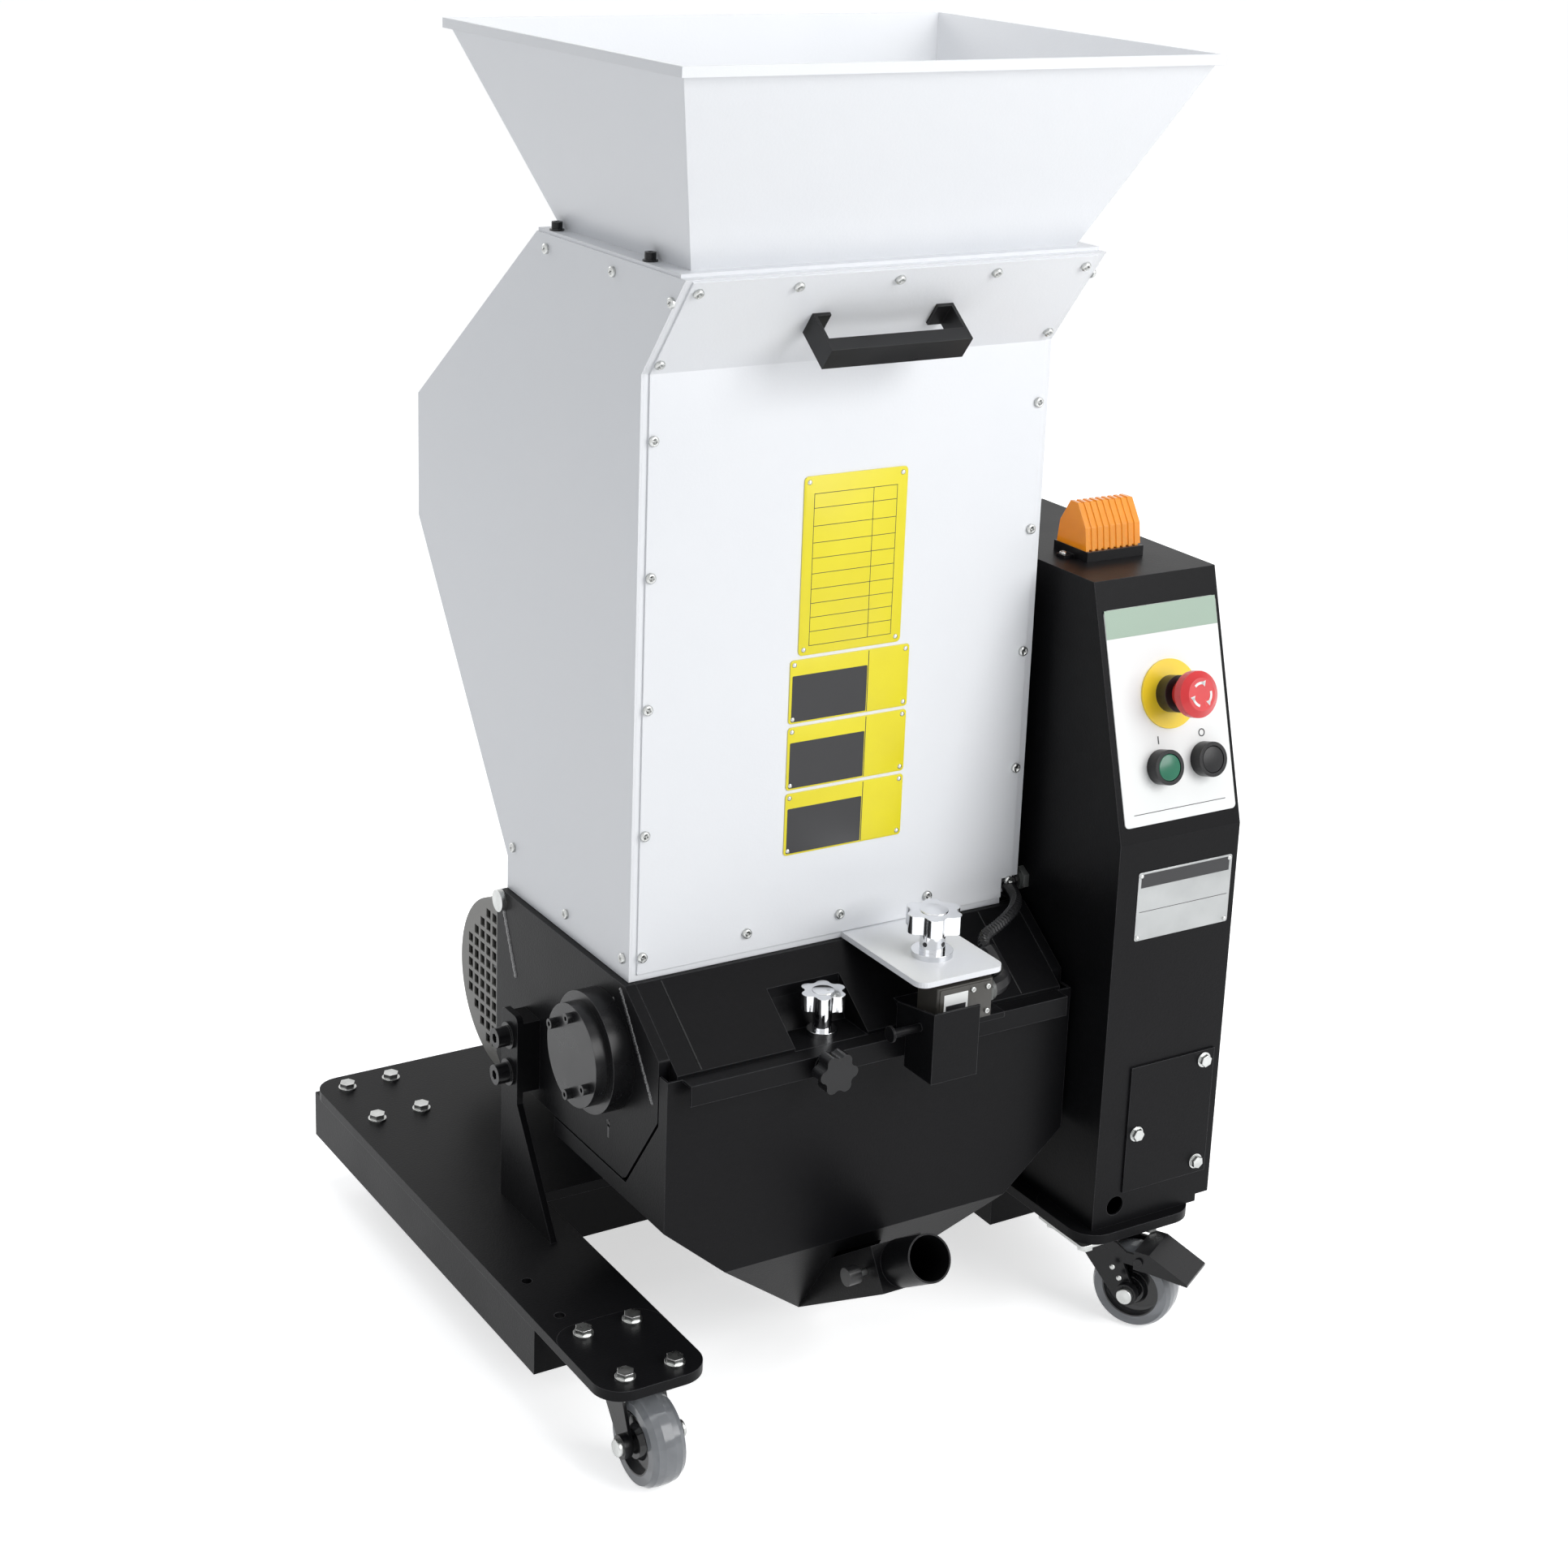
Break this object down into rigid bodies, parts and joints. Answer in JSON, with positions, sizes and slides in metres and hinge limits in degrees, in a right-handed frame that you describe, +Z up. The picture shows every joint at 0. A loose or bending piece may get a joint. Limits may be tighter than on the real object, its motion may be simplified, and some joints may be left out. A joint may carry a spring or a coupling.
{
  "type": "plastic granulator",
  "caption": "Compact beside-the-press plastic granulator on casters: feed funnel, tilting hopper, bladed rotor over a screen, material bin with suction outlet, belt drive and control box.",
  "frame": {"origin": "on the floor, under the middle of the machine's outline", "axes": "X right along the front, Y to the back, Z up"},
  "size_m": [0.629, 0.645, 1.124],
  "materials": {
    "black_steel": "textured semi-gloss powder coat",
    "white_steel": "fine orange-peel powder coat",
    "zinc_steel": "zinc plated and machined steel",
    "chrome_knob": "polished",
    "cast_grey": "painted casting",
    "motor_grey": "satin grey",
    "belt_rubber": "matte",
    "black_plastic": "matte",
    "panel_white": "printed film",
    "yellow_plastic": "gloss",
    "red_plastic": "gloss",
    "green_plastic": "gloss",
    "amber_plastic": "translucent ribbed lens",
    "caster_wheel": "polyurethane tread on a black core"
  },
  "bodies": {
    "frame": {"base_plate": "black_steel", "base_skirt": "black_steel", "uprights": "black_steel", "socket_screws": "zinc_steel", "caster_plates": "zinc_steel", "rear_forks": "black_steel", "hex_bolts": "zinc_steel", "chamber_left_plate": "black_steel", "chamber_right_plate": "black_steel", "chamber_front_wall": "black_steel", "chamber_rear_wall": "black_steel", "bearing_housings": "cast_grey", "bearing_caps": "black_steel", "fixed_knives": "zinc_steel", "screen": "zinc_steel", "screen_cradle": "black_steel", "motor_housing": "motor_grey", "motor_fan_cover": "motor_grey", "terminal_box": "motor_grey", "drive_belt": "belt_rubber", "belt_guard": "black_steel", "hopper_hinge": "zinc_steel", "safety_switch": "black_plastic", "switch_bracket": "black_steel", "switch_conduit": "black_plastic", "control_box": "black_steel", "access_cover": "black_steel", "control_panel": "panel_white", "estop_collar": "yellow_plastic", "button_bezels": "black_plastic", "beacon_base": "black_plastic", "beacon_lens": "amber_plastic"},
    "hopper": {"hopper_shell": "white_steel", "hopper_front_cover": "white_steel", "hopper_side_covers": "white_steel", "feed_funnel": "white_steel", "funnel_bolts": "black_steel", "hopper_handle": "black_steel", "hopper_lock_tab": "white_steel"},
    "rotor": {"rotor": "zinc_steel", "rotor_knives": "zinc_steel", "rotor_pulley": "cast_grey"},
    "motor": {"motor_shaft": "zinc_steel"},
    "bin": {"material_bin": "black_steel", "bin_outlet": "black_steel", "bin_guard": "black_steel"},
    "hopper_lock_knob": {"hopper_lock_knob": "chrome_knob"},
    "screen_lock_knob": {"screen_lock_knob": "chrome_knob"},
    "bin_lock_knob": {"bin_lock_knob": "black_plastic"},
    "outlet_thumb_screw": {"outlet_thumb_screw": "zinc_steel"},
    "estop_button": {"estop_button": "red_plastic"},
    "start_button": {"start_button": "green_plastic"},
    "stop_button": {"stop_button": "black_plastic"},
    "fork_fl": {"caster_fork_fl": "black_steel"},
    "fork_fr": {"caster_fork_fr": "black_steel"},
    "brake_pedal": {"brake_pedal": "black_steel"},
    "wheel_fl": {"wheel_fl": "caster_wheel"},
    "wheel_fr": {"wheel_fr": "caster_wheel"},
    "wheel_rl": {"wheel_rl": "caster_wheel"},
    "wheel_rr": {"wheel_rr": "caster_wheel"}
  },
  "joints": [
    {"name": "hopper_tilt", "type": "hinge", "parent": "frame", "child": "hopper", "pos_m": [-0.0245, 0.08954, 0.3617], "axis": [-1, 0, 0], "range_deg": [0, 50]},
    {"name": "rotor_spin", "type": "hinge", "parent": "frame", "child": "rotor", "pos_m": [-0.0245, -0.10647, 0.303], "axis": [1, 0, 0], "continuous": true},
    {"name": "motor_spin", "type": "hinge", "parent": "frame", "child": "motor", "pos_m": [-0.0245, 0.22753, 0.208], "axis": [1, 0, 0], "continuous": true},
    {"name": "bin_slide", "type": "slide", "parent": "frame", "child": "bin", "axis": [0, -1, 0], "range_m": [0, 0.3]},
    {"name": "hopper_lock_knob_turn", "type": "hinge", "parent": "hopper", "child": "hopper_lock_knob", "pos_m": [0.0295, -0.20847, 0.377], "axis": [0, 0, 1], "continuous": true},
    {"name": "screen_lock_knob_turn", "type": "hinge", "parent": "frame", "child": "screen_lock_knob", "pos_m": [-0.0665, -0.19146, 0.318], "axis": [0, 0, 1], "continuous": true},
    {"name": "bin_lock_knob_turn", "type": "hinge", "parent": "bin", "child": "bin_lock_knob", "pos_m": [-0.0845, -0.22747, 0.309], "axis": [0, -1, 0], "continuous": true},
    {"name": "outlet_thumb_screw_turn", "type": "hinge", "parent": "bin", "child": "outlet_thumb_screw", "pos_m": [-0.0495, -0.24846, 0.119], "axis": [-1, 0, 0], "continuous": true},
    {"name": "estop_press", "type": "slide", "parent": "frame", "child": "estop_button", "axis": [0, 0.9627, -0.2706], "range_m": [0, 0.003]},
    {"name": "start_press", "type": "slide", "parent": "frame", "child": "start_button", "axis": [0, 0.9627, -0.2706], "range_m": [0, 0.003], "stiffness_N_per_m": 300},
    {"name": "stop_press", "type": "slide", "parent": "frame", "child": "stop_button", "axis": [0, 0.9627, -0.2706], "range_m": [0, 0.003], "stiffness_N_per_m": 300},
    {"name": "fork_fl_swivel", "type": "hinge", "parent": "frame", "child": "fork_fl", "pos_m": [-0.2655, -0.23147, 0.083], "axis": [0, 0, 1], "continuous": true},
    {"name": "fork_fr_swivel", "type": "hinge", "parent": "frame", "child": "fork_fr", "pos_m": [0.2165, -0.23147, 0.083], "axis": [0, 0, 1], "continuous": true},
    {"name": "brake_pedal_tip", "type": "hinge", "parent": "fork_fr", "child": "brake_pedal", "pos_m": [0.2395, -0.2713, 0.072], "axis": [0.866, 0.5, 0], "range_deg": [0, 8]},
    {"name": "wheel_fl_spin", "type": "hinge", "parent": "fork_fl", "child": "wheel_fl", "pos_m": [-0.2655, -0.26847, 0.038], "axis": [1, 0, 0], "continuous": true},
    {"name": "wheel_fr_spin", "type": "hinge", "parent": "fork_fr", "child": "wheel_fr", "pos_m": [0.235, -0.26351, 0.038], "axis": [0.866, 0.5, 0], "continuous": true},
    {"name": "wheel_rl_spin", "type": "hinge", "parent": "frame", "child": "wheel_rl", "pos_m": [-0.2655, 0.26154, 0.038], "axis": [1, 0, 0], "continuous": true},
    {"name": "wheel_rr_spin", "type": "hinge", "parent": "frame", "child": "wheel_rr", "pos_m": [0.2165, 0.26154, 0.038], "axis": [1, 0, 0], "continuous": true}
  ],
  "couplings": [
    {"joint": "motor_spin", "follows": "rotor_spin", "ratio": 2.1207}
  ]
}
